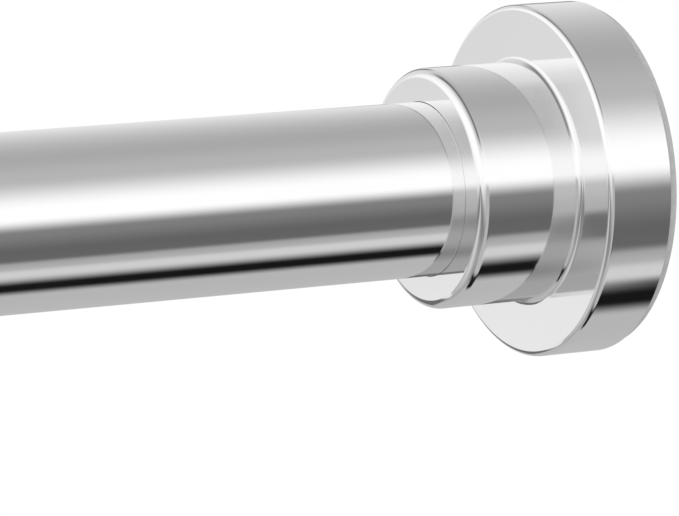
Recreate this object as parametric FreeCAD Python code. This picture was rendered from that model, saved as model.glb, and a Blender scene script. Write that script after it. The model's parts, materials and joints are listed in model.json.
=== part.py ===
"""Spring tension rod: two telescoping tubes that press a padded cap against the wall at each end.

A threaded bar inside sets the length: turning the thin tube drives its nut along the bar. A coil spring
behind the bar lets the rod be pressed shorter, and then holds it between the walls.
Millimetres. The origin is the middle of the fixed end's wall face, +X points into that wall, +Z is up.
Every piece is drawn along +X from a wall face at zero, going into the room, and is then placed.
"""

import FreeCAD
import Part

import math
import os

from FreeCAD import Vector

# Shortest length of the rod from wall to wall, how far it opens, how far it is open as stored,
# and how far it can be pressed in
closed_length = 406.4
opening_travel = 203.2
stored_opening = 25.4
press_travel = 20.0

# Tubes
outer_tube_od = 25.4
outer_tube_wall = 0.8
inner_tube_wall = 0.7
telescope_gap = 0.8

# Cap cover: a collar and a wider flange in one stepped shell
collar_step = 4.85
flange_step = 8.35
flange_depth = 10.1
collar_length = 16.2
cover_wall = 1.6
collar_edge_radius = 1.45
flange_edge_radius = 0.85
collar_foot_radius = 0.8
cover_lip_chamfer = 0.15
cover_tube_gap = 0.05
snap_groove_width = 1.6
snap_groove_depth = 0.5
snap_groove_offset = 3.0

# Rubber pad on the wall face
pad_thickness = 1.4
pad_inset = 0.6
pad_edge_chamfer = 0.25
pad_core_radius = 5.0
pad_groove_count = 4
pad_groove_width = 1.2
pad_groove_depth = 0.5
pad_rim_width = 2.0

# Cap base: the plate, socket and ribs inside the cover
plate_thickness = 2.6
base_cover_gap = 0.2
base_rim_wall = 1.5
base_rim_height = 6.5
socket_wall = 1.8
socket_tube_gap = 0.2
socket_end_gap = 0.6
base_rib_count = 6
base_rib_thickness = 1.6
head_recess_radius = 5.8
head_recess_depth = 2.8
socket_floor = 2.8

# Screws and washers
screw_radius = 2.0
screw_hole_gap = 0.05
screw_length = 13.0
screw_clearance = 0.2
head_radius = 4.0
head_height = 1.9
head_round = 0.8
drive_slot_width = 1.1
drive_slot_depth = 1.0
swivel_shoulder_radius = 3.0
swivel_gap = 0.1
swivel_washer_radius = 5.4
swivel_washer_thickness = 0.6

# Plugs pressed into the tube ends
turning_gap = 0.2
plug_length = 12.0
plug_floor = 2.5
plug_wall = 1.6
plug_boss_radius = 4.5
plug_web_count = 4
plug_web_thickness = 1.4
press_gap = 0.05
press_rib_height = 0.4
press_rib_count = 8
press_rib_width = 1.6

# Spring, with its seat washer and the follower that it pushes
spring_wire = 2.2
spring_turns = 9
spring_closed_turns = 1
spring_easing_turns = 0.35
spring_closed_gap = 0.07
spring_ground_turns = 0.25
spring_length = 44.8
spring_tube_gap = 1.4
seat_washer_thickness = 1.2
seat_washer_bore = 5.0
slide_gap = 0.15
follower_thickness = 4.0
follower_hub_length = 12.0
follower_spring_gap = 0.8
follower_pin_radius = 1.25
follower_pin_gap = 0.05
follower_pin_recess = 0.3

# Threaded bar, flat on two sides so that it slides in its guide without turning
bar_radius = 5.0
bar_across_flats = 7.2
bar_guide_gap = 0.12
guide_length = 14.0
guide_stop_gap = 0.1
guide_pocket_count = 4
guide_pocket_radius = 2.2
guide_pocket_depth = 5.0

# Nut plug at the inner end of the thin tube
nut_collar_length = 5.0
nut_body_length = 20.0
nut_bar_gap = 0.08
nut_guide_space = 2.7
nut_stop_space = 0.8

# End stop on the bar
stop_washer_radius = 7.5
stop_washer_thickness = 2.0
stop_screw_length = 10.0

# Bush in the mouth of the thick tube
mouth_lip_thickness = 2.0
mouth_lip_chamfer = 0.5
mouth_sleeve_length = 25.0
mouth_slide_gap = 0.1
closing_gap = 1.7

# Radii worked out from the sizes above
outer_tube_radius = outer_tube_od / 2
outer_bore_radius = outer_tube_radius - outer_tube_wall
inner_tube_radius = outer_bore_radius - telescope_gap
inner_bore_radius = inner_tube_radius - inner_tube_wall
collar_radius = outer_tube_radius + collar_step
flange_radius = collar_radius + flange_step
spring_outer_radius = outer_bore_radius - spring_tube_gap
spring_mean_radius = spring_outer_radius - spring_wire / 2
spring_inner_radius = spring_outer_radius - spring_wire
follower_hub_radius = spring_inner_radius - follower_spring_gap

# Stations of the cap's faces, counted from its wall face
flange_front = pad_thickness + flange_depth
collar_front = flange_front + collar_length
recess_floor = pad_thickness + head_recess_depth
socket_face = recess_floor + socket_floor

# Stations along the rod, counted from the fixed wall face
outer_tube_start = socket_face
seat_start = outer_tube_start + plug_length
spring_start = seat_start + seat_washer_thickness
spring_end = spring_start + spring_length
follower_end = spring_end + follower_thickness
bar_start = spring_end - follower_hub_length
guide_start = follower_end + guide_stop_gap
guide_end = guide_start + guide_length
rest_length = closed_length + stored_opening
mouth_front = closed_length - collar_front - press_travel - closing_gap
outer_tube_end = mouth_front - mouth_lip_thickness
nut_start_closed = guide_end + press_travel + nut_guide_space
nut_start_open = nut_start_closed + opening_travel
nut_start = nut_start_closed + stored_opening
inner_tube_start = nut_start + nut_collar_length
inner_tube_end = rest_length - socket_face - turning_gap
bar_end = nut_start_open + nut_collar_length + nut_body_length + nut_stop_space

ORIGIN = Vector(0, 0, 0)
ALONG = Vector(1, 0, 0)
UP = Vector(0, 0, 1)
COIL_POINT_COUNT = 24


def cylinder(start, end, radius):
    return Part.makeCylinder(radius, end - start, Vector(start, 0, 0), ALONG)


def sleeve(start, end, outer, inner):
    return cylinder(start, end, outer).cut(cylinder(start, end, inner))


def turned(corners):
    """Solid turned about the X axis from a closed section of (station, radius, rounding) corners."""
    points = [Vector(station, 0, radius) for station, radius, _ in corners]
    edges = []
    starts = []
    ends = []
    for i, (_, _, rounding) in enumerate(corners):
        here = points[i]
        back = (points[i - 1] - here).normalize()
        forward = (points[(i + 1) % len(points)] - here).normalize()
        if rounding == 0:
            starts.append(here)
            ends.append(here)
            continue
        half = back.getAngle(forward) / 2
        trim = rounding / math.tan(half)
        inward = (back + forward).normalize()
        centre = here + inward * (rounding / math.sin(half))
        starts.append(here + back * trim)
        ends.append(here + forward * trim)
        edges.append(Part.Arc(starts[i], centre - inward * rounding, ends[i]).toShape())
    for i, start in enumerate(starts):
        edges.append(Part.LineSegment(ends[i - 1], start).toShape())
    section = Part.Face(Part.Wire(Part.__sortEdges__(edges)))
    return section.revolve(ORIGIN, ALONG, 360)


def around(shape, count):
    """The copies of a shape that a full turn about the X axis makes, one every 360 / count degrees."""
    copies = []
    for i in range(count):
        copy = shape.copy()
        copy.rotate(ORIGIN, ALONG, 360 * i / count)
        copies.append(copy)
    return copies


def upright_plate(corners, thickness):
    """Flat plate in the plane of X and Z, centred on that plane, from (station, radius) corners."""
    points = [Vector(station, -thickness / 2, radius) for station, radius in corners]
    face = Part.Face(Part.makePolygon(points + points[:1]))
    return face.extrude(Vector(0, thickness, 0))


def flat_sided_bar(start, end, radius, across_flats):
    """Round bar with two flats, one above and one below."""
    slab_origin = Vector(start, -radius, -across_flats / 2)
    slab = Part.makeBox(end - start, 2 * radius, across_flats, slab_origin)
    return cylinder(start, end, radius).common(slab)


def press_ribs(start, end, bore_radius):
    """Crush ribs that hold a plug in the bore of its tube."""
    foot = bore_radius - press_rib_height - press_rib_width / 2
    top = bore_radius - press_gap
    rib = upright_plate([(start, foot), (end, foot), (end, top), (start, top)], press_rib_width)
    return [r.common(cylinder(start, end, top)) for r in around(rib, press_rib_count)]


def cap_cover(tube_radius):
    hole = tube_radius + cover_tube_gap
    flange_bore = flange_radius - cover_wall
    collar_bore = collar_radius - cover_wall
    groove_start = pad_thickness + snap_groove_offset
    groove_end = groove_start + snap_groove_width
    return turned([
        (pad_thickness, flange_bore, 0),
        (pad_thickness, flange_radius - cover_lip_chamfer, 0),
        (pad_thickness + cover_lip_chamfer, flange_radius, 0),
        (flange_front, flange_radius, flange_edge_radius),
        (flange_front, collar_radius, collar_foot_radius),
        (collar_front, collar_radius, collar_edge_radius),
        (collar_front, hole + cover_lip_chamfer, 0),
        (collar_front - cover_lip_chamfer, hole, 0),
        (collar_front - cover_wall, hole, 0),
        (collar_front - cover_wall, collar_bore, 0),
        (flange_front - cover_wall, collar_bore, 0),
        (flange_front - cover_wall, flange_bore, 0),
        (groove_end, flange_bore, 0),
        (groove_end, flange_bore + snap_groove_depth, 0),
        (groove_start, flange_bore + snap_groove_depth, 0),
        (groove_start, flange_bore, 0),
    ])


def cap_base(tube_radius, hole_radius):
    """Plate with a rim that snaps into the cover, and a ribbed socket that holds the tube."""
    rim = flange_radius - cover_wall - base_cover_gap
    rim_inside = rim - base_rim_wall
    rim_front = pad_thickness + base_rim_height
    plate_front = pad_thickness + plate_thickness
    bead_start = pad_thickness + snap_groove_offset + base_cover_gap
    bead_end = bead_start + snap_groove_width - 2 * base_cover_gap
    bead = rim + snap_groove_depth
    socket_bore = tube_radius + socket_tube_gap
    socket_radius = socket_bore + socket_wall
    socket_front = collar_front - cover_wall - socket_end_gap
    body = turned([
        (pad_thickness, head_recess_radius, 0),
        (pad_thickness, rim, 0),
        (bead_start, rim, 0),
        (bead_start, bead, 0),
        (bead_end, bead, 0),
        (bead_end, rim, 0),
        (rim_front, rim, 0),
        (rim_front, rim_inside, 0),
        (plate_front, rim_inside, 0),
        (plate_front, socket_radius, 0),
        (socket_front, socket_radius, 0),
        (socket_front, socket_bore, 0),
        (socket_face, socket_bore, 0),
        (socket_face, hole_radius, 0),
        (recess_floor, hole_radius, 0),
        (recess_floor, head_recess_radius, 0),
    ])
    rib_top = collar_radius - cover_wall - base_cover_gap
    rib_foot = socket_bore + socket_wall / 2
    rim_overlap = rim_inside + base_rim_wall / 2
    rib = upright_plate([
        (plate_front - plate_thickness / 2, rib_foot),
        (plate_front - plate_thickness / 2, rim_overlap),
        (rim_front - base_rim_wall, rim_overlap),
        (rim_front - base_rim_wall, rib_top),
        (socket_front - base_rim_wall, rib_top),
        (socket_front - base_rim_wall, rib_foot),
    ], base_rib_thickness)
    return body.fuse(around(rib, base_rib_count)).removeSplitter()


def wall_pad():
    """Rubber disc with round grooves in its wall face."""
    pad_radius = flange_radius - pad_inset
    land = (pad_radius - pad_rim_width - pad_core_radius) / pad_groove_count
    disc = turned([
        (0, 0, 0),
        (0, pad_radius - pad_edge_chamfer, 0),
        (pad_edge_chamfer, pad_radius, 0),
        (pad_thickness, pad_radius, 0),
        (pad_thickness, 0, 0),
    ])
    for i in range(pad_groove_count):
        middle = pad_core_radius + land * (i + 0.5)
        outside = middle + pad_groove_width / 2
        disc = disc.cut(sleeve(-1, pad_groove_depth, outside, outside - pad_groove_width))
    return disc


def tube_plug(start, bore_radius):
    """Ribbed cup pressed into a tube's end, with a boss for the cap's screw."""
    end = start + plug_length
    skirt = bore_radius - press_rib_height
    cup = cylinder(start, end, skirt)
    cup = cup.cut(sleeve(start + plug_floor, end, skirt - plug_wall, plug_boss_radius))
    web = upright_plate([
        (start + plug_floor / 2, plug_boss_radius / 2),
        (start + plug_floor / 2, skirt - plug_wall / 2),
        (end, skirt - plug_wall / 2),
        (end, plug_boss_radius / 2),
    ], plug_web_thickness)
    ribs = press_ribs(start, end, bore_radius)
    whole = cup.fuse(around(web, plug_web_count) + ribs).removeSplitter()
    return whole.cut(cylinder(start, end, screw_radius + screw_hole_gap))


def pan_head(under, slot_side):
    """Round screw head whose flat underside is at a station. slot_side is -1 or 1, where the slot faces."""
    top = under + slot_side * head_height
    head = turned([
        (under, 0, 0),
        (under, head_radius, 0),
        (top, head_radius, head_round),
        (top, 0, 0),
    ])
    slot_start = min(top, top - slot_side * drive_slot_depth)
    slot_place = Vector(slot_start, -head_radius, -drive_slot_width / 2)
    slot = Part.makeBox(drive_slot_depth, 2 * head_radius, drive_slot_width, slot_place)
    cross = slot.copy()
    cross.rotate(ORIGIN, ALONG, 90)
    return head.cut(slot).cut(cross)


def cap_screw():
    """Screw that clamps the fixed cap's base to the plug of its tube."""
    shank = cylinder(recess_floor, recess_floor + screw_length, screw_radius)
    return pan_head(recess_floor, -1).fuse(shank).removeSplitter()


def swivel_screw():
    """Shoulder screw in the thin tube's plug: the sliding cap turns on its shoulder."""
    under = recess_floor - swivel_washer_thickness - swivel_gap
    shoulder_end = socket_face + turning_gap
    shoulder = cylinder(under, shoulder_end, swivel_shoulder_radius)
    shank = cylinder(shoulder_end, recess_floor + screw_length, screw_radius)
    return pan_head(under, -1).fuse([shoulder, shank]).removeSplitter()


def swivel_washer():
    bore = swivel_shoulder_radius + swivel_gap
    return sleeve(recess_floor - swivel_washer_thickness, recess_floor, swivel_washer_radius, bore)


def outer_tube():
    return sleeve(outer_tube_start, outer_tube_end, outer_tube_radius, outer_bore_radius)


def inner_tube():
    return sleeve(inner_tube_start, inner_tube_end, inner_tube_radius, inner_bore_radius)


def mouth_bush():
    """Guide sleeve in the mouth of the thick tube, with a lip over the tube's edge."""
    sleeve_radius = outer_bore_radius - press_gap
    bore = inner_tube_radius + mouth_slide_gap
    return turned([
        (outer_tube_end - mouth_sleeve_length, bore, 0),
        (outer_tube_end - mouth_sleeve_length, sleeve_radius, 0),
        (outer_tube_end, sleeve_radius, 0),
        (outer_tube_end, outer_tube_radius, 0),
        (mouth_front - mouth_lip_chamfer, outer_tube_radius, 0),
        (mouth_front, outer_tube_radius - mouth_lip_chamfer, 0),
        (mouth_front, bore, 0),
    ])


def seat_washer():
    return sleeve(seat_start, spring_start, outer_bore_radius - slide_gap, seat_washer_bore)


def spring_rise(turn):
    """How far the wire climbs in this many turns: little in the closed end coils, more between them."""
    if turn > spring_turns / 2:
        return spring_length - spring_rise(spring_turns - turn)
    closed_pitch = spring_wire + spring_closed_gap
    open_turns = spring_turns - 2 * spring_closed_turns - spring_easing_turns
    opening = (spring_length - closed_pitch * spring_turns) / open_turns
    past_closed = turn - spring_closed_turns
    if past_closed <= 0:
        eased = 0
    elif past_closed < spring_easing_turns:
        eased = past_closed ** 2 / (2 * spring_easing_turns)
    else:
        eased = past_closed - spring_easing_turns / 2
    return closed_pitch * turn + opening * eased


def press_spring():
    """Coil spring with closed ends ground flat, swept along a curve through points on its coils."""
    places = []
    first = -round(spring_ground_turns * COIL_POINT_COUNT)
    last = round((spring_turns + spring_ground_turns) * COIL_POINT_COUNT)
    for i in range(first, last + 1):
        turn = i / COIL_POINT_COUNT
        angle = 2 * math.pi * turn
        across = spring_mean_radius * math.cos(angle)
        up = spring_mean_radius * math.sin(angle)
        places.append(Vector(spring_start + spring_rise(turn), across, up))
    middle = Part.BSplineCurve()
    middle.interpolate(places)
    along = middle.tangent(middle.FirstParameter)[0]
    wire = Part.Wire(Part.makeCircle(spring_wire / 2, places[0], along))
    coil = Part.Wire(middle.toShape()).makePipeShell([wire], True, True)
    return coil.common(cylinder(spring_start, spring_end, spring_outer_radius + spring_wire))


def cross_cylinder(radius, half):
    """Cylinder straight through the middle of the follower's hub, from front to back."""
    middle = spring_end - follower_hub_length / 2
    return Part.makeCylinder(radius, 2 * half, Vector(middle, -half, 0), Vector(0, 1, 0))


def follower_pin():
    return cross_cylinder(follower_pin_radius, follower_hub_radius - follower_pin_recess)


def pin_hole():
    return cross_cylinder(follower_pin_radius + follower_pin_gap, follower_hub_radius)


def spring_follower():
    """Disc that the spring pushes, with a hub inside the spring that holds the end of the bar."""
    disc = cylinder(spring_end, follower_end, outer_bore_radius - slide_gap)
    hub = cylinder(bar_start, spring_end, follower_hub_radius)
    gap = 2 * follower_pin_gap
    bore = flat_sided_bar(bar_start, follower_end, bar_radius + follower_pin_gap, bar_across_flats + gap)
    return disc.fuse(hub).removeSplitter().cut(bore).cut(pin_hole())


def threaded_bar():
    """Flat-sided bar at the outer size of its thread, with a pin hole and a tapped end."""
    bar = flat_sided_bar(bar_start, bar_end, bar_radius, bar_across_flats)
    tapped = cylinder(bar_end - stop_screw_length, bar_end, screw_radius + screw_hole_gap)
    return bar.cut(pin_hole()).cut(tapped)


def guide_plug():
    """Plug pressed into the thick tube, with a flat-sided bore that keeps the bar from turning."""
    skirt = outer_bore_radius - press_rib_height
    body = cylinder(guide_start, guide_end, skirt)
    ribs = press_ribs(guide_start, guide_end, outer_bore_radius)
    gap = 2 * bar_guide_gap
    bore = flat_sided_bar(guide_start, guide_end, bar_radius + bar_guide_gap, bar_across_flats + gap)
    pocket_centre = (skirt + bar_radius + bar_guide_gap) / 2
    pocket_place = Vector(guide_end - guide_pocket_depth, 0, pocket_centre)
    pocket = Part.makeCylinder(guide_pocket_radius, guide_pocket_depth, pocket_place, ALONG)
    return body.fuse(ribs).removeSplitter().cut([bore] + around(pocket, guide_pocket_count))


def nut_plug():
    """Nut pressed into the thin tube, with a collar that slides in the thick tube."""
    body_end = inner_tube_start + nut_body_length
    collar = cylinder(nut_start, inner_tube_start, outer_bore_radius - slide_gap)
    body = cylinder(inner_tube_start, body_end, inner_bore_radius - press_rib_height)
    ribs = press_ribs(inner_tube_start, body_end, inner_bore_radius)
    bore = cylinder(nut_start, body_end, bar_radius + nut_bar_gap)
    return collar.fuse([body] + ribs).removeSplitter().cut(bore)


def stop_washer():
    hole = screw_radius + screw_clearance
    return sleeve(bar_end, bar_end + stop_washer_thickness, stop_washer_radius, hole)


def stop_screw():
    """Screw in the end of the bar that holds the stop washer."""
    under = bar_end + stop_washer_thickness
    shank = cylinder(bar_end - stop_screw_length, under, screw_radius)
    return pan_head(under, 1).fuse(shank).removeSplitter()


def from_fixed_wall(shape):
    """Turns a piece drawn from a wall face so that it runs from the fixed wall into the room."""
    shape.rotate(ORIGIN, UP, 180)
    return shape


def from_sliding_wall(shape):
    """Moves a cap piece to the far wall at the rest length."""
    shape.translate(Vector(-rest_length, 0, 0))
    return shape


def fixed_cap():
    return {
        "cover_fixed": cap_cover(outer_tube_radius),
        "base_fixed": cap_base(outer_tube_radius, screw_radius + screw_clearance),
        "pad_fixed": wall_pad(),
        "cap_screw": cap_screw(),
        "plug_fixed": tube_plug(outer_tube_start, outer_bore_radius),
    }


def sliding_cap():
    return {
        "cover_sliding": cap_cover(inner_tube_radius),
        "base_sliding": cap_base(inner_tube_radius, swivel_shoulder_radius + swivel_gap),
        "pad_sliding": wall_pad(),
        "swivel_screw": swivel_screw(),
        "swivel_washer": swivel_washer(),
        "plug_sliding": tube_plug(socket_face + turning_gap, inner_bore_radius),
    }


def tubes_and_mechanism():
    return {
        "outer_tube": outer_tube(),
        "inner_tube": inner_tube(),
        "mouth_bush": mouth_bush(),
        "seat_washer": seat_washer(),
        "press_spring": press_spring(),
        "spring_follower": spring_follower(),
        "follower_pin": follower_pin(),
        "threaded_bar": threaded_bar(),
        "guide_plug": guide_plug(),
        "nut_plug": nut_plug(),
        "stop_washer": stop_washer(),
        "stop_screw": stop_screw(),
    }


def main():
    pieces = {}
    for name, shape in {**fixed_cap(), **tubes_and_mechanism()}.items():
        pieces[name] = from_fixed_wall(shape)
    for name, shape in sliding_cap().items():
        pieces[name] = from_sliding_wall(shape)
    os.makedirs("parts", exist_ok=True)
    for name, shape in pieces.items():
        [solid] = shape.Solids
        print(f"{name:16s} valid {solid.isValid()} volume {solid.Volume:9.1f} mm3")
        solid.exportStep(f"parts/{name}.step")


main()
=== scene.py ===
import json
import math

import bmesh
import bpy
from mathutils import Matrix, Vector


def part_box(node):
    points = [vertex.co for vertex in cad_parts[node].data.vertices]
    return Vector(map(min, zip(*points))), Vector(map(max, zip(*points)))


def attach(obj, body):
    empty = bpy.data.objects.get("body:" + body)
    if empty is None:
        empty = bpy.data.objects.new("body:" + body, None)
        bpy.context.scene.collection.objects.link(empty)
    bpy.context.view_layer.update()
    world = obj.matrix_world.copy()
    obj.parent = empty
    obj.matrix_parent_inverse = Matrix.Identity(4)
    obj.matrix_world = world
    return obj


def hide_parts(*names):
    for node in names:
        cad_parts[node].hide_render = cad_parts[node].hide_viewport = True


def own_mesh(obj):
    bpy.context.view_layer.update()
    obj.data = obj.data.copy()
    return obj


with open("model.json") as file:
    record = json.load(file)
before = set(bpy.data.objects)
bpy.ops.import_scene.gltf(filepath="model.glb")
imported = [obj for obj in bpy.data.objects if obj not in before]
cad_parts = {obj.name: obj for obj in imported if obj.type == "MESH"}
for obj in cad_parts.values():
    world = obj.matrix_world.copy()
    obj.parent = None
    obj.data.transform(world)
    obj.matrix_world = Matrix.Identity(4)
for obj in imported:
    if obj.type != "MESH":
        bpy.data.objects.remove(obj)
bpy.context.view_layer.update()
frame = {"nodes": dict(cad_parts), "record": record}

MM = 0.001

# Camera, from the photograph's view: its place from the middle of the fixed wall face in metres, its turn
# from straight in front and its look down in degrees, and its lens and sensor in millimetres
CAMERA_PLACE = Vector((-0.33703, -0.56498, 0.10219))
CAMERA_AZIMUTH = -27.625
CAMERA_ELEVATION = 9.896
CAMERA_LENS = 238.08
CAMERA_SENSOR = 36
CAMERA_NEAR = 0.01
CAMERA_FAR = 50

# The studio round the rod, as the chrome shows it: (angle about the rod in degrees, brightness on screen
# from 0 to 255), with soft passages between. 0 is behind the rod, 90 above it, 180 in front of it and 270
# below it. There is one ring of cards toward the fixed wall, a paler one toward the room, and a whiter one
# at the room's far end, where the rod points.
CARDS_TOWARD_WALL = [
    (0, 225), (85, 168), (115, 180), (156, 255), (166, 255), (184, 125), (208, 98),
    (218, 100), (225, 165), (229, 173), (236, 205), (240, 205), (256, 22), (263, 22), (276, 180),
    (333, 183), (356, 225),
]
CARDS_TOWARD_ROOM = [
    (0, 245), (10, 250), (103, 190), (122, 195), (157, 255), (166, 255), (180, 190), (200, 180),
    (219, 148), (235, 163), (247, 162), (268, 132), (288, 161), (320, 161), (340, 190), (345, 235),
    (353, 212), (358, 238),
]
CARDS_ALONG_ROD = [(0, 250), (8, 255), (155, 255), (220, 125), (322, 208), (335, 165), (350, 245)]
# Middle and half width of the passage from one ring to the next, by the direction's share along the rod
# toward the wall: from -1, straight into the room, to 1, straight at the wall
ALONG_EDGE = (-0.635, 0.215)
WALL_EDGE = (-0.38, 0.12)

# Single cards and dark flags that hang before the rings: their angles about the rod, their shares along it,
# how far their edges blur in both, and their brightness on screen. The two from 345 to 4 are one flag, cut
# where the angle starts again. The last five are narrow ones that the collar and the flange show in each
# other.
SINGLE_CARDS = [
    {"angles": (322, 341), "along": (-0.56, -0.08), "blur": (3, 0.03), "level": 105},
    {"angles": (172, 259), "along": (-0.38, 0.15), "blur": (4, 0.03), "level": 180},
    {"angles": (240, 259), "along": (0.10, 0.33), "blur": (4, 0.03), "level": 182},
    {"angles": (263, 277), "along": (-0.22, 0.34), "blur": (3, 0.03), "level": 28},
    {"angles": (42, 133), "along": (-0.31, -0.03), "blur": (10, 0.03), "level": 118},
    {"angles": (5, 30), "along": (0.10, 0.33), "blur": (5, 0.03), "level": 130},
    {"angles": (245, 258), "along": (0.508, 0.90), "blur": (4, 0.03), "level": 22},
    {"angles": (345, 370), "along": (0.465, 0.80), "blur": (3, 0.03), "level": 130},
    {"angles": (-10, 4), "along": (0.465, 0.80), "blur": (3, 0.03), "level": 130},
    {"angles": (66, 126), "along": (-0.5035, -0.49), "blur": (10, 0.001), "level": 171},
    {"angles": (48, 134), "along": (-0.535, -0.5025), "blur": (12, 0.001), "level": 226},
    {"angles": (206, 234), "along": (-0.535, -0.5045), "blur": (5, 0.001), "level": 92},
    {"angles": (240, 284), "along": (-0.535, -0.5045), "blur": (4, 0.001), "level": 172},
    {"angles": (318, 347), "along": (-0.56, -0.4965), "blur": (3, 0.001), "level": 228},
]
CHROME_TINT = 0.93
CHROME_DRIFT = 0.015

# Room as plain surfaces see it, the floor below the rod, and the lamp, in metres and watts
ROOM_LIGHT = 0.8
FLOOR_PLACE = (-0.2, 0, -0.35)
FLOOR_SIZE = 30
FLOOR_GREY = 0.92
FLOOR_ROUGHNESS = 0.9
FLOOR_WHITE = 1.03
FLOOR_WHITE_SHARE = 0.9
LAMP_PLACE = (-0.9, -1.2, 1.4)
LAMP_AIM = Vector((-0.2, 0, 0))
LAMP_WIDTH = 1.6
LAMP_HEIGHT = 1.0
LAMP_POWER = 12

# Range that most of a noise falls in
NOISE_LOW = 0.3
NOISE_HIGH = 0.7

# Faces round a turned piece that shows, and round a small hidden one
ROUND = 256
SMALL_ROUND = 64
SHADE_ANGLE = math.radians(32)

# How close points are that merge, that lie on an edge and that lie on a saw's plane
SAME_POINT = 0.001 * MM
ON_EDGE = 0.01 * MM
ON_CUT = 0.0001 * MM

# Cap cover
COLLAR_RADIUS = 17.55 * MM
COLLAR_LENGTH = 16.2 * MM
COVER_WALL = 1.6 * MM
COLLAR_EDGE = 1.45 * MM
COLLAR_FOOT = 0.8 * MM
FLANGE_EDGE = 0.85 * MM
COVER_LIP = 0.08 * MM
TUBE_HOLE_GAP = 0.045 * MM

# Wall pad
PAD_CORE = 5.0 * MM
PAD_RIM = 2.0 * MM
PAD_GROOVES = 4
PAD_GROOVE_WIDTH = 1.2 * MM
PAD_GROOVE_DEPTH = 0.5 * MM
PAD_EDGE = 0.3 * MM

# Tubes and bush
THICK_WALL = 0.8 * MM
THIN_WALL = 0.7 * MM
TUBE_EDGE = 0.15 * MM
BUSH_EDGE = 0.5 * MM
BUSH_PLAY = 0.1 * MM

# Press spring
WIRE = 2.2 * MM
COIL_RADIUS = 9.4 * MM
COIL_TURNS = 9
CLOSED_TURNS = 1
EASING_TURNS = 0.35
GROUND_TURNS = 0.25
CLOSED_GAP = 0.07 * MM
COIL_STEPS = 32
WIRE_SIDES = 16

# Screw bar, and the screws
BAR_CREST = 5.0 * MM
BAR_ROOT = 4.1 * MM
BAR_LEAD = 4.0 * MM
BAR_FLAT = 3.6 * MM
HOLE_GAP = 0.05 * MM
SCREW_CREST = 2.0 * MM
SCREW_ROOT = 1.55 * MM
SCREW_LEAD = 1.4 * MM
SHOULDER_RADIUS = 3.0 * MM
HEAD_RADIUS = 4.0 * MM
HEAD_HEIGHT = 1.9 * MM
HEAD_ROUND = 0.8 * MM
SLOT_WIDTH = 1.1 * MM
SLOT_DEPTH = 1.0 * MM

# Shares of a lead at which a thread's outline leaves its root, meets its crest and leaves it
LEAVES_ROOT = 0.3
MEETS_CREST = 0.45
LEAVES_CREST = 0.85
THREAD_STEPS = 28


def grey(level):
    """Linear grey of a screen brightness from 0 to 255, by the formula of standard screens."""
    share = level / 255
    return share / 12.92 if share <= 0.04045 else ((share + 0.055) / 1.055) ** 2.4


def deselect_all():
    bpy.ops.object.select_all(action="DESELECT")


def edit(piece):
    deselect_all()
    piece.select_set(True)
    bpy.context.view_layer.objects.active = piece
    bpy.ops.object.mode_set(mode="EDIT")
    bpy.ops.mesh.select_mode(type="VERT")


def leave_edit():
    bpy.ops.object.mode_set(mode="OBJECT")


def named(name):
    """Names the new primitive and puts its place into its mesh."""
    piece = bpy.context.object
    piece.name = name
    piece.data.name = name
    bpy.ops.object.transform_apply(location=True, rotation=True, scale=True)
    return piece


def add_ring(name, station, radius, sides, fill):
    """Circle round the rod's axis, the start of every turned piece."""
    deselect_all()
    quarter = (0, math.pi / 2, 0)
    bpy.ops.mesh.primitive_circle_add(
        vertices=sides, radius=radius, fill_type=fill, location=(station, 0, 0), rotation=quarter)
    return named(name)


def carry_ring(start, end):
    """Extrudes the selected ring from one (station, radius) to the next."""
    bpy.ops.mesh.extrude_region_move(TRANSFORM_OT_translate={"value": (end[0] - start[0], 0, 0)})
    share = end[1] / start[1]
    bpy.ops.transform.resize(value=(1, share, share), center_override=(end[0], 0, 0))


def turned_ring(name, profile, sides=ROUND):
    """Turned piece with a hole: the ring is carried round its whole section and meets itself."""
    piece = add_ring(name, *profile[0], sides, "NOTHING")
    edit(piece)
    bpy.ops.mesh.select_all(action="SELECT")
    for start, end in zip(profile, profile[1:] + profile[:1]):
        carry_ring(start, end)
    close_up()
    return piece


def turned_solid(name, profile, sides=ROUND):
    """Turned piece without a hole, from one end disc to the other."""
    piece = add_ring(name, *profile[0], sides, "NGON")
    edit(piece)
    bpy.ops.mesh.select_all(action="SELECT")
    bpy.ops.mesh.select_mode(type="EDGE")
    for start, end in zip(profile, profile[1:]):
        carry_ring(start, end)
    close_up()
    return piece


def close_up():
    """Joins the points that meet, turns all faces outwards and leaves edit mode."""
    bpy.ops.mesh.select_all(action="SELECT")
    bpy.ops.mesh.remove_doubles(threshold=SAME_POINT)
    bpy.ops.mesh.normals_make_consistent(inside=False)
    bpy.ops.mesh.select_all(action="DESELECT")
    leave_edit()


def round_edge(piece, station, radius, width, steps):
    """Rounds the edge loop that runs round the axis at this station and radius."""
    edit(piece)
    bpy.ops.mesh.select_mode(type="EDGE")
    mesh = bmesh.from_edit_mesh(piece.data)
    for edge in mesh.edges:
        off_station = max(abs(vert.co.x - station) for vert in edge.verts)
        off_radius = max(abs(math.hypot(vert.co.y, vert.co.z) - radius) for vert in edge.verts)
        edge.select_set(max(off_station, off_radius) < ON_EDGE)
    bmesh.update_edit_mesh(piece.data)
    bpy.ops.mesh.bevel(offset=width, offset_type="OFFSET", segments=steps, profile=0.5, affect="EDGES")
    bpy.ops.mesh.select_all(action="DESELECT")
    leave_edit()


def finish_with(piece, kind, **settings):
    """Adds a modifier with these settings and applies it."""
    deselect_all()
    piece.select_set(True)
    bpy.context.view_layer.objects.active = piece
    bpy.ops.object.modifier_add(type=kind)
    modifier = piece.modifiers[-1]
    for name, value in settings.items():
        setattr(modifier, name, value)
    bpy.ops.object.modifier_apply(modifier=modifier.name)


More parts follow.
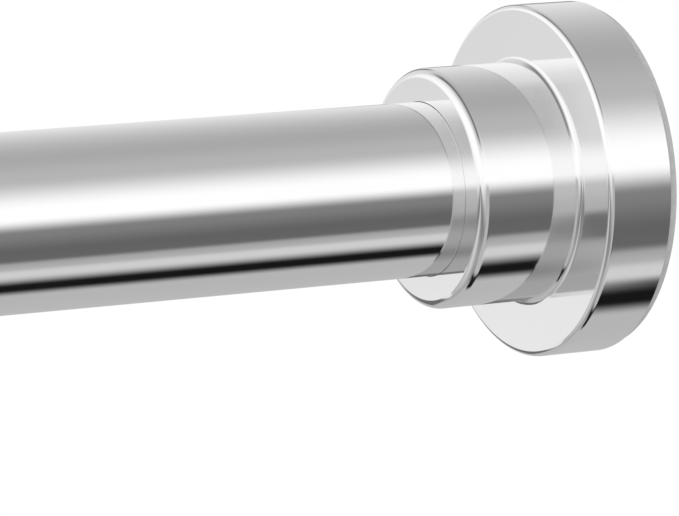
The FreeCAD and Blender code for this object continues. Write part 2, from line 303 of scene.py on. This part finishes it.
def saw_off(piece, place, outward):
    """Cuts the piece flat at a plane, drops what lies outward of it and closes the cut."""
    edit(piece)
    bpy.ops.mesh.select_all(action="SELECT")
    bpy.ops.mesh.bisect(
        plane_co=place, plane_no=outward, use_fill=True, clear_outer=True, threshold=ON_CUT)
    close_up()


def add_block(middle, size, turn=0):
    """Block that may be turned about the rod's axis."""
    deselect_all()
    bpy.ops.mesh.primitive_cube_add(size=1, location=middle, rotation=(turn, 0, 0))
    block = bpy.context.object
    block.scale = size
    bpy.ops.object.transform_apply(location=True, rotation=True, scale=True)
    return block


def add_drill(middle, radius, length, rotation):
    deselect_all()
    bpy.ops.mesh.primitive_cylinder_add(
        vertices=SMALL_ROUND, radius=radius, depth=length, location=middle, rotation=rotation)
    bpy.ops.object.transform_apply(location=True, rotation=True, scale=True)
    return bpy.context.object


def cut_away(piece, cutter):
    """Takes the cutter's form out of the piece and removes the cutter."""
    finish_with(piece, "BOOLEAN", operation="DIFFERENCE", object=cutter, solver="EXACT")
    deselect_all()
    cutter.select_set(True)
    bpy.ops.object.delete()


def join(pieces):
    """Makes one piece of several."""
    deselect_all()
    for piece in pieces:
        piece.select_set(True)
    bpy.context.view_layer.objects.active = pieces[0]
    bpy.ops.object.join()
    return pieces[0]


def threaded(name, start, end, crest, root, lead):
    """Right-hand thread: the outline of one turn is screwed along the axis and sawn to length."""
    outline = [(0, root), (LEAVES_ROOT, root), (MEETS_CREST, crest), (LEAVES_CREST, crest), (1, root)]
    first = start - lead
    deselect_all()
    bpy.ops.mesh.primitive_plane_add(size=lead, location=(first + lead / 2, lead / 2, root))
    piece = named(name)
    edit(piece)
    mesh = bmesh.from_edit_mesh(piece.data)
    corner = min(mesh.verts, key=lambda vert: (vert.co - Vector((first, 0, root))).length)
    for vert in mesh.verts:
        vert.select_set(vert is not corner)
    bmesh.update_edit_mesh(piece.data)
    bpy.ops.mesh.delete(type="VERT")
    bpy.ops.mesh.select_all(action="SELECT")
    for (turn, radius), (next_turn, next_radius) in zip(outline, outline[1:]):
        step = ((next_turn - turn) * lead, 0, next_radius - radius)
        bpy.ops.mesh.extrude_region_move(TRANSFORM_OT_translate={"value": step})
    leave_edit()
    turns = math.ceil((end - start) / lead) + 2
    finish_with(
        piece, "SCREW", axis="X", screw_offset=lead, iterations=turns, steps=THREAD_STEPS,
        render_steps=THREAD_STEPS)
    edit(piece)
    close_up()
    saw_off(piece, (start, 0, 0), (-1, 0, 0))
    saw_off(piece, (end, 0, 0), (1, 0, 0))
    return piece


def smooth(piece):
    """Smooth shading that keeps flat faces flat beside their rounded edges."""
    deselect_all()
    piece.select_set(True)
    bpy.context.view_layer.objects.active = piece
    bpy.ops.object.shade_smooth_by_angle(angle=SHADE_ANGLE)
    finish_with(piece, "WEIGHTED_NORMAL", keep_sharp=True)


def fit_out(piece, finish, node):
    """Gives a finished piece its finish and its body, and hides the solid that it stands for."""
    piece.data.materials.clear()
    piece.data.materials.append(finish)
    body = next(name for name, nodes in frame["record"]["behaviour"]["bodies"].items() if node in nodes)
    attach(piece, body)
    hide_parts(node)


def new_finish(name):
    finish = bpy.data.materials.new(name)
    finish.use_nodes = True
    tree = finish.node_tree
    return finish, tree, tree.nodes["Principled BSDF"]


def noise(tree, scale, detail, stretch=(1, 1, 1)):
    """Noise in the object's own coordinates. Returns its factor."""
    place = tree.nodes.new("ShaderNodeTexCoord")
    mapping = tree.nodes.new("ShaderNodeMapping")
    mapping.inputs["Scale"].default_value = stretch
    texture = tree.nodes.new("ShaderNodeTexNoise")
    texture.inputs["Scale"].default_value = scale
    texture.inputs["Detail"].default_value = detail
    tree.links.new(place.outputs["Object"], mapping.inputs["Vector"])
    tree.links.new(mapping.outputs["Vector"], texture.inputs["Vector"])
    return texture.outputs["Fac"]


def ranged(tree, factor, low, high):
    """The factor's middle range spread over low to high."""
    node = tree.nodes.new("ShaderNodeMapRange")
    node.inputs["From Min"].default_value = NOISE_LOW
    node.inputs["From Max"].default_value = NOISE_HIGH
    node.inputs["To Min"].default_value = low
    node.inputs["To Max"].default_value = high
    tree.links.new(factor, node.inputs["Value"])
    return node.outputs["Result"]


def bumped(tree, surface, height, distance, strength):
    """Fine relief, this deep, in the surface's normals."""
    node = tree.nodes.new("ShaderNodeBump")
    node.inputs["Strength"].default_value = strength
    node.inputs["Distance"].default_value = distance
    tree.links.new(height, node.inputs["Height"])
    tree.links.new(node.outputs["Normal"], surface.inputs["Normal"])


def tinted(tree, surface, factor, dark, light):
    """Colour that drifts between two tones."""
    mix = tree.nodes.new("ShaderNodeMix")
    mix.data_type = "RGBA"
    mix.inputs["A"].default_value = (*dark, 1)
    mix.inputs["B"].default_value = (*light, 1)
    tree.links.new(factor, mix.inputs["Factor"])
    tree.links.new(mix.outputs["Result"], surface.inputs["Base Color"])


def polished_chrome():
    """Mirror plating, with a faint cloudiness in its polish."""
    finish, tree, surface = new_finish("polished_chrome")
    surface.inputs["Metallic"].default_value = 1.0
    cloud = noise(tree, scale=30, detail=3)
    tinted(tree, surface, cloud, (CHROME_TINT - CHROME_DRIFT,) * 3, (CHROME_TINT + CHROME_DRIFT,) * 3)
    polish = noise(tree, scale=140, detail=4, stretch=(0.2, 1, 1))
    tree.links.new(ranged(tree, polish, low=0.05, high=0.08), surface.inputs["Roughness"])
    return finish


def pad_rubber():
    """Light grey rubber with a fine matt grain."""
    finish, tree, surface = new_finish("pad_rubber")
    surface.inputs["Roughness"].default_value = 0.8
    surface.inputs["Specular IOR Level"].default_value = 0.3
    tinted(tree, surface, noise(tree, scale=900, detail=4), (0.40, 0.40, 0.40), (0.52, 0.52, 0.52))
    bumped(tree, surface, noise(tree, scale=2600, detail=3), distance=0.02 * MM, strength=0.6)
    return finish


def moulded_plastic():
    """Off-white nylon with a soft satin skin."""
    finish, tree, surface = new_finish("moulded_plastic")
    surface.inputs["Subsurface Weight"].default_value = 0.1
    surface.inputs["Subsurface Radius"].default_value = (1.0 * MM, 1.0 * MM, 0.8 * MM)
    tinted(tree, surface, noise(tree, scale=120, detail=3), (0.66, 0.65, 0.61), (0.72, 0.71, 0.68))
    satin = noise(tree, scale=500, detail=3)
    tree.links.new(ranged(tree, satin, low=0.38, high=0.5), surface.inputs["Roughness"])
    bumped(tree, surface, noise(tree, scale=1500, detail=2), distance=0.01 * MM, strength=0.5)
    return finish


def zinc_steel():
    """Zinc-plated steel of the screws, washers and bar."""
    finish, tree, surface = new_finish("zinc_steel")
    surface.inputs["Metallic"].default_value = 1.0
    tinted(tree, surface, noise(tree, scale=250, detail=4), (0.52, 0.53, 0.55), (0.66, 0.66, 0.67))
    spangle = noise(tree, scale=700, detail=4)
    tree.links.new(ranged(tree, spangle, low=0.22, high=0.38), surface.inputs["Roughness"])
    return finish


def spring_wire():
    """Drawn spring wire, darker and lightly oiled."""
    finish, tree, surface = new_finish("spring_wire")
    surface.inputs["Metallic"].default_value = 1.0
    tinted(tree, surface, noise(tree, scale=300, detail=4), (0.24, 0.24, 0.25), (0.36, 0.36, 0.37))
    oil = noise(tree, scale=900, detail=3)
    tree.links.new(ranged(tree, oil, low=0.25, high=0.4), surface.inputs["Roughness"])
    return finish


def make_tube(name, node, wall, chrome):
    low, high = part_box(node)
    outside = high.y
    inside = outside - wall
    piece = turned_ring(name, [(low.x, outside), (high.x, outside), (high.x, inside), (low.x, inside)])
    for station in (low.x, high.x):
        round_edge(piece, station, outside, TUBE_EDGE, steps=3)
    smooth(piece)
    fit_out(piece, chrome, node)


def make_cover(node, tube_node, chrome):
    """Stepped chrome shell of an end cap. The thick tube's cap has its back at the box's upper end."""
    low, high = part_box(node)
    toward_wall = 1 if tube_node == "outer_tube" else -1
    back = high.x if toward_wall > 0 else low.x
    front = low.x if toward_wall > 0 else high.x
    flange_radius = high.y
    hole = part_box(tube_node)[1].y + TUBE_HOLE_GAP
    step = front + toward_wall * COLLAR_LENGTH
    inside = toward_wall * COVER_WALL
    profile = [
        (back, flange_radius - COVER_WALL),
        (back, flange_radius),
        (step, flange_radius),
        (step, COLLAR_RADIUS),
        (front, COLLAR_RADIUS),
        (front, hole),
        (front + inside, hole),
        (front + inside, COLLAR_RADIUS - COVER_WALL),
        (step + inside, COLLAR_RADIUS - COVER_WALL),
        (step + inside, flange_radius - COVER_WALL),
    ]
    piece = turned_ring("cap_" + node, profile)
    round_edge(piece, front, COLLAR_RADIUS, COLLAR_EDGE, steps=14)
    round_edge(piece, step, COLLAR_RADIUS, COLLAR_FOOT, steps=10)
    round_edge(piece, step, flange_radius, FLANGE_EDGE, steps=10)
    round_edge(piece, back, flange_radius, COVER_LIP, steps=4)
    round_edge(piece, front, hole, COVER_LIP, steps=4)
    smooth(piece)
    fit_out(piece, chrome, node)


def make_pad(node, rubber):
    """Wall pad with round grooves in the face that grips the wall."""
    low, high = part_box(node)
    toward_wall = 1 if node == "pad_fixed" else -1
    wall = high.x if toward_wall > 0 else low.x
    back = low.x if toward_wall > 0 else high.x
    radius = high.y
    floor = wall - toward_wall * PAD_GROOVE_DEPTH
    land = (radius - PAD_RIM - PAD_CORE) / PAD_GROOVES
    profile = [(back, radius), (wall, radius)]
    for i in reversed(range(PAD_GROOVES)):
        middle = PAD_CORE + land * (i + 0.5)
        outer, inner = middle + PAD_GROOVE_WIDTH / 2, middle - PAD_GROOVE_WIDTH / 2
        profile += [(wall, outer), (floor, outer), (floor, inner), (wall, inner)]
    piece = turned_solid(node + "_rubber", profile)
    edit(piece)
    bpy.ops.mesh.select_all(action="DESELECT")
    bpy.ops.mesh.select_non_manifold()
    bpy.ops.mesh.edge_face_add()
    close_up()
    round_edge(piece, wall, radius, PAD_EDGE, steps=4)
    smooth(piece)
    fit_out(piece, rubber, node)


def make_bush(plastic):
    """Guide bush, with a rounded lip that covers the thick tube's edge."""
    low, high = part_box("mouth_bush")
    tube_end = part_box("outer_tube")[0].x
    lip_radius = high.y
    sleeve_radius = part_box("outer_tube")[1].y - THICK_WALL
    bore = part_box("inner_tube")[1].y + BUSH_PLAY
    piece = turned_ring("guide_bush", [
        (low.x, bore), (low.x, lip_radius), (tube_end, lip_radius), (tube_end, sleeve_radius),
        (high.x, sleeve_radius), (high.x, bore)])
    round_edge(piece, low.x, lip_radius, BUSH_EDGE, steps=6)
    round_edge(piece, low.x, bore, BUSH_EDGE / 2, steps=4)
    smooth(piece)
    fit_out(piece, plastic, "mouth_bush")


def wire_rise(turn, length):
    """How far the wire climbs in this many turns: little in the closed end coils, more between them."""
    if turn > COIL_TURNS / 2:
        return length - wire_rise(COIL_TURNS - turn, length)
    closed = WIRE + CLOSED_GAP
    opening = (length - closed * COIL_TURNS) / (COIL_TURNS - 2 * CLOSED_TURNS - EASING_TURNS)
    past = max(turn - CLOSED_TURNS, 0)
    eased = past ** 2 / (2 * EASING_TURNS) if past < EASING_TURNS else past - EASING_TURNS / 2
    return closed * turn + opening * eased


def make_spring(wire):
    """Coil spring with closed ends ground flat. The wire's round section is carried along its coils."""
    low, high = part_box("press_spring")
    length = high.x - low.x
    turn = -GROUND_TURNS
    start = (high.x - wire_rise(turn, length), 0, -COIL_RADIUS)
    quarter = (math.pi / 2, 0, 0)
    deselect_all()
    bpy.ops.mesh.primitive_circle_add(
        vertices=WIRE_SIDES, radius=WIRE / 2, fill_type="NGON", location=start, rotation=quarter)
    piece = named("coil_spring")
    edit(piece)
    bpy.ops.mesh.select_all(action="SELECT")
    bpy.ops.mesh.select_mode(type="FACE")
    for _ in range(round((COIL_TURNS + 2 * GROUND_TURNS) * COIL_STEPS)):
        climb = wire_rise(turn + 1 / COIL_STEPS, length) - wire_rise(turn, length)
        bpy.ops.mesh.extrude_region_move(TRANSFORM_OT_translate={"value": (-climb, 0, 0)})
        bpy.ops.transform.rotate(
            value=2 * math.pi / COIL_STEPS, orient_axis="X", center_override=(0, 0, 0))
        turn += 1 / COIL_STEPS
    close_up()
    saw_off(piece, (high.x, 0, 0), (1, 0, 0))
    saw_off(piece, (low.x, 0, 0), (-1, 0, 0))
    smooth(piece)
    fit_out(piece, wire, "press_spring")
    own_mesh(piece)


def make_bar(zinc):
    """Screw bar with its two flats, the hole for its pin and the hole for its end screw."""
    low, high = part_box("threaded_bar")
    piece = threaded("screw_bar", low.x, high.x, BAR_CREST, BAR_ROOT, BAR_LEAD)
    for side in (1, -1):
        middle = ((low.x + high.x) / 2, 0, side * (BAR_FLAT + BAR_CREST / 2))
        cut_away(piece, add_block(middle, (2 * (high.x - low.x), 3 * BAR_CREST, BAR_CREST)))
    pin_low, pin_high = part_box("follower_pin")
    pin_place = ((pin_low.x + pin_high.x) / 2, 0, 0)
    cut_away(piece, add_drill(pin_place, pin_high.z + HOLE_GAP, 3 * BAR_CREST, (math.pi / 2, 0, 0)))
    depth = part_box("stop_screw")[1].x - low.x
    cut_away(piece, add_drill((low.x, 0, 0), SCREW_CREST + HOLE_GAP, 2 * depth, (0, math.pi / 2, 0)))
    smooth(piece)
    fit_out(piece, zinc, "threaded_bar")


def make_screw(name, node, side, zinc, shoulder_end=None):
    """Pan head screw with a cross slot. Its head faces the side given, 1 or -1 along the rod."""
    low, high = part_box(node)
    top, tip = (high.x, low.x) if side > 0 else (low.x, high.x)
    under = top - side * HEAD_HEIGHT
    head = turned_solid(name, [(under, HEAD_RADIUS), (top, HEAD_RADIUS)], SMALL_ROUND)
    round_edge(head, top, HEAD_RADIUS, HEAD_ROUND, steps=5)
    for turn in (0, math.pi / 2):
        cut_away(head, add_block((top, 0, 0), (2 * SLOT_DEPTH, 3 * HEAD_RADIUS, SLOT_WIDTH), turn))
    parts = [head]
    neck = under
    if shoulder_end is not None:
        shoulder = [(under, SHOULDER_RADIUS), (shoulder_end, SHOULDER_RADIUS)]
        parts.append(turned_solid(name + "_shoulder", shoulder, SMALL_ROUND))
        neck = shoulder_end
    start, end = sorted((neck, tip))
    parts.append(threaded(name + "_thread", start, end, SCREW_CREST, SCREW_ROOT, SCREW_LEAD))
    piece = join(parts)
    smooth(piece)
    fit_out(piece, zinc, node)


def make_camera():
    azimuth = math.radians(CAMERA_AZIMUTH)
    elevation = math.radians(CAMERA_ELEVATION)
    level = math.cos(elevation)
    back = Vector((math.sin(azimuth) * level, -math.cos(azimuth) * level, math.sin(elevation)))
    bpy.ops.object.camera_add(location=CAMERA_PLACE)
    camera = bpy.context.object
    camera.name = "photo_camera"
    camera.rotation_mode = "QUATERNION"
    camera.rotation_quaternion = (-back).to_track_quat("-Z", "Y")
    camera.data.lens = CAMERA_LENS
    camera.data.sensor_width = CAMERA_SENSOR
    camera.data.clip_start = CAMERA_NEAR
    camera.data.clip_end = CAMERA_FAR
    bpy.context.scene.camera = camera


def cards_ramp(tree, turn, stops):
    """Brightness of the studio's cards round the rod."""
    cards = tree.nodes.new("ShaderNodeValToRGB")
    ramp = cards.color_ramp
    ramp.interpolation = "EASE"
    while len(ramp.elements) > 1:
        ramp.elements.remove(ramp.elements[-1])
    for i, (degrees, level) in enumerate(stops):
        stop = ramp.elements[0] if i == 0 else ramp.elements.new(degrees / 360)
        stop.position = degrees / 360
        stop.color = (*(grey(level) / CHROME_TINT,) * 3, 1)
    tree.links.new(turn, cards.inputs["Fac"])
    return cards.outputs["Color"]


def soft_edge(tree, value, middle, half):
    """Rises softly from 0 to 1 about the middle, or falls where the half width is negative."""
    edge = tree.nodes.new("ShaderNodeMapRange")
    edge.interpolation_type = "SMOOTHSTEP"
    edge.inputs["From Min"].default_value = middle - half
    edge.inputs["From Max"].default_value = middle + half
    tree.links.new(value, edge.inputs["Value"])
    return edge.outputs["Result"]


def product(tree, first, second):
    node = tree.nodes.new("ShaderNodeMath")
    node.operation = "MULTIPLY"
    tree.links.new(first, node.inputs[0])
    tree.links.new(second, node.inputs[1])
    return node.outputs["Value"]


def crossfade(tree, share, before, after):
    """One colour where the share is 0, another where it is 1."""
    mix = tree.nodes.new("ShaderNodeMix")
    mix.data_type = "RGBA"
    tree.links.new(share, mix.inputs["Factor"])
    tree.links.new(before, mix.inputs["A"])
    tree.links.new(after, mix.inputs["B"])
    return mix.outputs["Result"]


def hang_card(tree, before, turn, along, card):
    """One card with soft edges in front of what is there already."""
    lower, upper, blur = (angle / 360 for angle in (*card["angles"], card["blur"][0]))
    near, far = card["along"]
    side_blur = card["blur"][1]
    high = product(tree, soft_edge(tree, turn, lower, blur), soft_edge(tree, turn, upper, -blur))
    wide = product(tree, soft_edge(tree, along, near, side_blur), soft_edge(tree, along, far, -side_blur))
    tone = tree.nodes.new("ShaderNodeRGB")
    tone.outputs["Color"].default_value = (*(grey(card["level"]) / CHROME_TINT,) * 3, 1)
    return crossfade(tree, product(tree, high, wide), before, tone.outputs["Color"])


def turn_about_rod(tree, direction):
    """Share of a full turn about the rod, from 0 to 1, at which a direction lies."""
    angle = tree.nodes.new("ShaderNodeMath")
    angle.operation = "ARCTAN2"
    tree.links.new(direction.outputs["Z"], angle.inputs[0])
    tree.links.new(direction.outputs["Y"], angle.inputs[1])
    turns = tree.nodes.new("ShaderNodeMath")
    turns.operation = "MULTIPLY"
    turns.inputs[1].default_value = 1 / (2 * math.pi)
    tree.links.new(angle.outputs["Value"], turns.inputs[0])
    wrap = tree.nodes.new("ShaderNodeMath")
    wrap.operation = "FRACT"
    tree.links.new(turns.outputs["Value"], wrap.inputs[0])
    return wrap.outputs["Value"]


def studio_cards(tree):
    """The three rings of cards, with the single cards in front of them."""
    place = tree.nodes.new("ShaderNodeTexCoord")
    direction = tree.nodes.new("ShaderNodeSeparateXYZ")
    tree.links.new(place.outputs["Generated"], direction.inputs["Vector"])
    turn = turn_about_rod(tree, direction)
    along = direction.outputs["X"]
    shown = cards_ramp(tree, turn, CARDS_ALONG_ROD)
    for edge, stops in ((ALONG_EDGE, CARDS_TOWARD_ROOM), (WALL_EDGE, CARDS_TOWARD_WALL)):
        shown = crossfade(tree, soft_edge(tree, along, *edge), shown, cards_ramp(tree, turn, stops))
    for card in SINGLE_CARDS:
        shown = hang_card(tree, shown, turn, along, card)
    return shown


def white_light(tree, strength):
    light = tree.nodes.new("ShaderNodeBackground")
    light.inputs["Color"].default_value = (1, 1, 1, 1)
    light.inputs["Strength"].default_value = strength
    return light


def shader_mix(tree, share, before, after):
    """One shader where the share is 0, another where it is 1."""
    mix = tree.nodes.new("ShaderNodeMixShader")
    tree.links.new(share, mix.inputs["Fac"])
    tree.links.new(before, mix.inputs[1])
    tree.links.new(after, mix.inputs[2])
    return mix.outputs["Shader"]


def make_world():
    """White to the camera, an even pale room to plain surfaces, and light and dark cards to the chrome."""
    world = bpy.data.worlds.new("studio")
    bpy.context.scene.world = world
    world.use_nodes = True
    tree = world.node_tree
    tree.nodes.clear()
    cards = white_light(tree, 1.0)
    tree.links.new(studio_cards(tree), cards.inputs["Color"])
    room = white_light(tree, ROOM_LIGHT).outputs["Background"]
    white = white_light(tree, 1.0).outputs["Background"]
    path = tree.nodes.new("ShaderNodeLightPath")
    lit = shader_mix(tree, path.outputs["Is Glossy Ray"], room, cards.outputs["Background"])
    lit = shader_mix(tree, path.outputs["Is Camera Ray"], lit, white)
    output = tree.nodes.new("ShaderNodeOutputWorld")
    tree.links.new(lit, output.inputs["Surface"])


def make_floor():
    """Pale floor well below the rod, since the rod hangs between walls. The chrome doesn't show it."""
    deselect_all()
    bpy.ops.mesh.primitive_plane_add(size=FLOOR_SIZE, location=FLOOR_PLACE)
    floor = bpy.context.object
    floor.name = "floor"
    finish, tree, surface = new_finish("pale_floor")
    surface.inputs["Base Color"].default_value = (FLOOR_GREY, FLOOR_GREY, FLOOR_GREY, 1)
    surface.inputs["Roughness"].default_value = FLOOR_ROUGHNESS
    white = tree.nodes.new("ShaderNodeEmission")
    white.inputs["Color"].default_value = (1, 1, 1, 1)
    white.inputs["Strength"].default_value = FLOOR_WHITE
    path = tree.nodes.new("ShaderNodeLightPath")
    share = tree.nodes.new("ShaderNodeMath")
    share.operation = "MULTIPLY"
    share.inputs[1].default_value = FLOOR_WHITE_SHARE
    tree.links.new(path.outputs["Is Camera Ray"], share.inputs[0])
    mix = shader_mix(tree, share.outputs["Value"], surface.outputs["BSDF"], white.outputs["Emission"])
    tree.links.new(mix, tree.nodes["Material Output"].inputs["Surface"])
    floor.data.materials.append(finish)
    floor.visible_glossy = False


def make_lamp():
    """One broad soft lamp above and in front."""
    bpy.ops.object.light_add(type="AREA", location=LAMP_PLACE)
    lamp = bpy.context.object
    lamp.name = "soft_lamp"
    lamp.data.shape = "RECTANGLE"
    lamp.data.size = LAMP_WIDTH
    lamp.data.size_y = LAMP_HEIGHT
    lamp.data.energy = LAMP_POWER
    lamp.rotation_mode = "QUATERNION"
    lamp.rotation_quaternion = (LAMP_AIM - lamp.location).to_track_quat("-Z", "Y")
    lamp.visible_glossy = False
    lamp.visible_camera = False


deselect_all()
chrome = polished_chrome()
rubber = pad_rubber()
plastic = moulded_plastic()
zinc = zinc_steel()
wire = spring_wire()

make_tube("thick_tube", "outer_tube", THICK_WALL, chrome)
make_tube("thin_tube", "inner_tube", THIN_WALL, chrome)
make_cover("cover_fixed", "outer_tube", chrome)
make_cover("cover_sliding", "inner_tube", chrome)
make_pad("pad_fixed", rubber)
make_pad("pad_sliding", rubber)
make_bush(plastic)
make_spring(wire)
make_bar(zinc)
make_screw("fixed_cap_screw", "cap_screw", 1, zinc)
make_screw("shoulder_screw", "swivel_screw", -1, zinc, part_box("plug_sliding")[0].x)
make_screw("end_screw", "stop_screw", -1, zinc)

finish_of_slot = {
    "chrome": chrome, "pad_rubber": rubber, "plastic": plastic, "steel": zinc, "spring_steel": wire,
}
for part in frame["record"]["subparts"]:
    node = frame["nodes"][part["node"]]
    node.data.materials.clear()
    node.data.materials.append(finish_of_slot[part["material_slot"]])

make_camera()
make_world()
make_floor()
make_lamp()
bpy.context.scene.view_settings.view_transform = "Standard"
